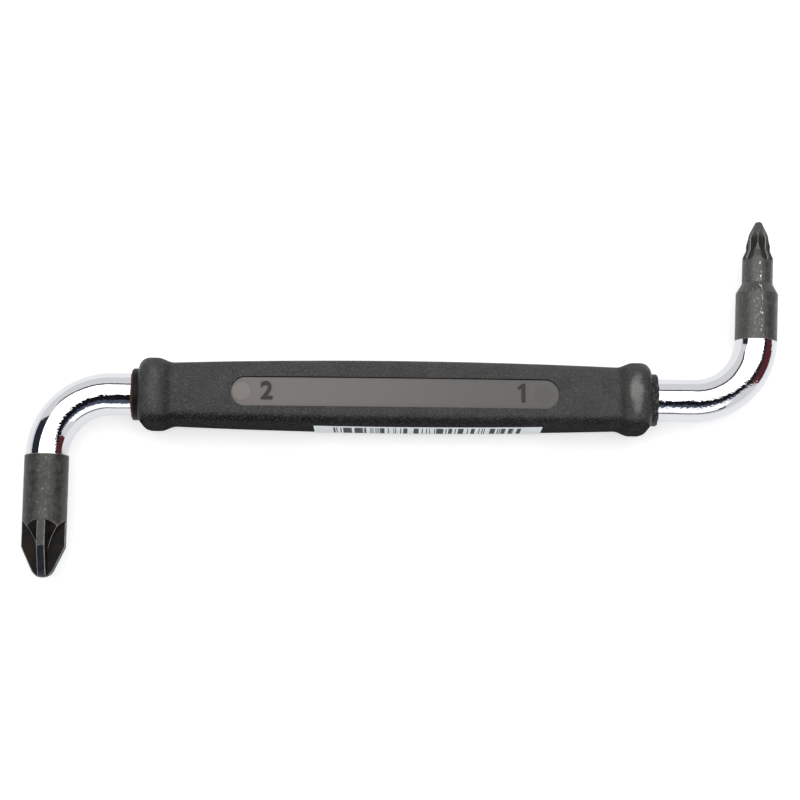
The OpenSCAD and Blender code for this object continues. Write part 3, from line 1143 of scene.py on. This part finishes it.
def end_ring(name, low, high, side, ragged, node):
    """A ring round the bar, side is -1 at the size 2 end and 1 at the size 1 end."""
    outer = (high.z - low.z) / 2
    length = high.x - low.x
    bore = bar_r + BAR_GAP
    soft = 0.25 * MM
    loops = [(bore, 0.0), (outer, 0.0), (outer, 0.55 * length)]
    for i in range(6):
        a = math.pi / 2 * i / 5
        loops.append((outer - soft + soft * math.cos(a), length - soft + soft * math.sin(a)))
    loops += [((outer + bore) / 2, length - 0.04 * MM), (bore, length - 0.1 * MM), (bore, 0.0)]
    ring = turned(name, loops, RING_SIDES, fill="NOTHING")
    for vert in ring.data.vertices:
        share = max(0.0, vert.co.z / length - 0.4) / 0.6
        wave = noise.noise(vert.co * 900) + 0.6 * noise.noise(vert.co * 2600)
        vert.co.z += share * ragged * (wave - 0.4)
        out = Vector((vert.co.x, vert.co.y, 0))
        grow = share * ragged * 0.5 * noise.noise(vert.co * 1700 + Vector((5, 1, 3)))
        if out.length > bore + 0.05 * MM:
            vert.co += grow * out.normalized()
    ring.rotation_euler = (0, side * math.pi / 2, 0)
    ring.location = (low.x if side > 0 else high.x, 0, axis_z)
    settle(ring)
    finish_piece(ring, ring_plastic.material, "ring_plastic", node, smooth=50)


end_ring("ring_at_size_2", ring_2_low, ring_2_high, -1, 0.08 * MM, "end_ring_size_2")
end_ring("ring_at_size_1", ring_1_low, ring_1_high, 1, 0.30 * MM, "end_ring_size_1")

# %% [markdown]
# The label
#
# The label lies on the lower side of the handle and follows it. A fine grid is dropped onto the
# handle with a shrinkwrap, and then gets the thickness of paper.

# %% Label
LABEL_T = 0.10 * MM
LABEL_GAP = 0.015 * MM
label_len = label_high.x - label_low.x
label_h = label_high.z - label_low.z
bpy.ops.mesh.primitive_grid_add(
    x_subdivisions=90,
    y_subdivisions=24,
    size=1,
    location=((label_low.x + label_high.x) / 2, -1.5 * half_collar, axis_z),
    rotation=(math.pi / 2, 0, 0),
)
label = started("label", (label_len, label_h, 1))
modify(
    label,
    "SHRINKWRAP",
    target=handle,
    wrap_method="PROJECT",
    use_project_x=False,
    use_project_y=True,
    use_project_z=False,
    use_negative_direction=True,
    use_positive_direction=True,
    offset=LABEL_GAP,
)
modify(label, "SOLIDIFY", thickness=LABEL_T, offset=1.0)
finish_piece(label, label_paper.material, "label_paper", "stock_label", smooth=40)

# %% [markdown]
# Camera
#
# The picture was taken from nearly straight above, tipped towards the lower side of the tool, with
# the camera turned by less than a degree.

# %% Camera
TILT = math.radians(9.1)
YAW = math.radians(-0.22)
ROLL = math.radians(0.62)
DISTANCE = 358 * MM
LENS_MM = 97.2
SENSOR_MM = 36
AIM = Vector((mid_x + 0.83 * MM, -0.44 * MM, axis_z))

direction = Vector(
    (math.sin(YAW) * math.cos(TILT), -math.sin(TILT), math.cos(YAW) * math.cos(TILT))
)
bpy.ops.object.camera_add(location=AIM + DISTANCE * direction)
camera = bpy.context.object
camera.name = "camera"
level = Vector((math.cos(YAW), 0, -math.sin(YAW)))
right = math.cos(ROLL) * level + math.sin(ROLL) * direction.cross(level)
turn = Matrix((right, direction.cross(right), direction)).transposed()
camera.rotation_euler = turn.to_euler()
camera.data.lens = LENS_MM
camera.data.sensor_width = SENSOR_MM
bpy.context.scene.camera = camera

# %% [markdown]
# Light
#
# A chrome bar shows the room, so the room is built around the tool. It starts with the world: pale
# grey to the tool's matt surfaces, and white to the camera and to mirrors.

# %% World
scene = bpy.context.scene
scene.view_settings.view_transform = "Standard"
world = bpy.data.worlds.new("room")
scene.world = world
world.use_nodes = True
room = Tree(world.node_tree)
grey = room.tree.nodes["Background"]
grey.inputs["Color"].default_value = (0.45, 0.45, 0.46, 1)
white = room.node("ShaderNodeBackground", {"Color": (1, 1, 1, 1)})
feeds = {0: room.white_rays(), 1: grey.outputs["Background"], 2: white.outputs["Background"]}
seen_world = room.node("ShaderNodeMixShader", feeds)
room.feed(room.tree.nodes["World Output"].inputs["Surface"], seen_world.outputs["Shader"])

# %% [markdown]
# Softboxes
#
# A large softbox hangs over the tool, and a weak one fills in from the near side. The weak one only
# lightens matt surfaces, because the chrome shows no second lamp.

# %% Softboxes


def softbox(name, angle, distance, size_x, size_y, brightness):
    """An area light that looks at the tool, angle towards +Y from straight above."""
    towards = Vector((0, math.sin(angle), math.cos(angle)))
    bpy.ops.object.light_add(type="AREA", location=distance * towards)
    lamp = bpy.context.object
    lamp.name = name
    lamp.data.shape = "RECTANGLE"
    lamp.data.size = size_x
    lamp.data.size_y = size_y
    lamp.data.energy = brightness * math.pi * size_x * size_y
    lamp.rotation_euler = (-angle, 0, 0)
    lamp.visible_camera = False
    return lamp


softbox("softbox_far", math.radians(15), distance=0.30, size_x=0.54, size_y=0.306, brightness=1.8)
fill = softbox(
    "softbox_near", math.radians(-62), distance=0.60, size_x=0.90, size_y=0.40, brightness=0.6
)
fill.visible_glossy = False

# %% [markdown]
# Cards
#
# Between the lamps is the dark gap where the camera stands. Cards make that gap, the softbox's frame
# and the darker things at both sides. A card is a plane whose corners are moved to where the
# reflection needs them. Its colour is its own light, and only reflections see it.

# %% Cards


def card(name, corners, color):
    """A card that only reflections see, with its four corners in a row round it."""
    bpy.ops.mesh.primitive_plane_add(size=1, location=(0, 0, 0))
    plane = bpy.context.object
    plane.name = name
    for vert, place in zip(plane.data.vertices, (corners[0], corners[1], corners[3], corners[2])):
        vert.co = place
    finish = Finish(name, (0, 0, 0), roughness=1.0)
    finish.gloss(0.0)
    finish.shader.inputs["Emission Color"].default_value = (*color, 1)
    finish.shader.inputs["Emission Strength"].default_value = 1.0
    plane.data.materials.append(finish.material)
    plane.visible_camera = False
    plane.visible_diffuse = False
    plane.visible_shadow = False


def strip(name, distance, near_left, near_right, far_left, far_right, color):
    """A card along the tool, its corners given by their angles in degrees towards +Y."""
    places = ((-CARD_X, near_left), (CARD_X, near_right), (CARD_X, far_right), (-CARD_X, far_left))
    corners = []
    for x, angle in places:
        turn = math.radians(angle)
        corners.append((x, distance * math.sin(turn), distance * math.cos(turn)))
    card(name, corners, color)


def wall(name, low, high, inner, outer, color):
    """A card beside the tool from y = low to high, from inner to outer, each an (x, z)."""
    edges = ((inner, low), (inner, high), (outer, high), (outer, low))
    card(name, [(x, y, z) for (x, z), y in edges], color)


CARD_X = 0.27
strip("gap_black", 0.28, -46, -26, -17, -6, (0.012, 0.012, 0.016))
strip("gap_blue", 0.28, -75, -34, -46, -26, (0.10, 0.12, 0.17))
strip("near_white", 0.34, -88, -74, -75, -34, (1.75, 1.76, 1.78))
strip("near_frame", 0.33, -94, -80, -88, -74, (0.03, 0.03, 0.04))
strip("far_frame", 0.29, 42, 40, 50, 47, (0.02, 0.02, 0.025))
wall("left_dark", -0.05, 0.16, (-0.265, 0.29), (-0.345, 0.06), (0.03, 0.035, 0.05))
wall("right_dark", -0.12, 0.20, (0.265, 0.28), (0.290, 0.20), (0.02, 0.02, 0.03))
wall("right_brown", -0.12, 0.20, (0.290, 0.20), (0.34, 0.0), (0.130, 0.034, 0.040))

# %% [markdown]
# Floor
#
# The floor is white paper. Its own light keeps the picture's background white, and the rest of its
# brightness comes from the lamps, so the tool still throws a soft shadow on it.

# %% Floor
PAPER_GLOW = 0.50
FLOOR_Z = -0.02 * MM
bpy.ops.mesh.primitive_plane_add(size=3, location=(0, 0, FLOOR_Z))
floor = bpy.context.object
floor.name = "floor"
paper = Finish("floor_paper", (0.70, 0.70, 0.70), roughness=0.9)
own_light = paper.times(paper.white_rays(), PAPER_GLOW)
glow = paper.node("ShaderNodeEmission", {"Color": (1, 1, 1, 1), "Strength": own_light})
feeds = {0: paper.shader.outputs["BSDF"], 1: glow.outputs["Emission"]}
both = paper.node("ShaderNodeAddShader", feeds)
paper.feed(paper.tree.nodes["Material Output"].inputs["Surface"], both.outputs["Shader"])
floor.data.materials.append(paper.material)
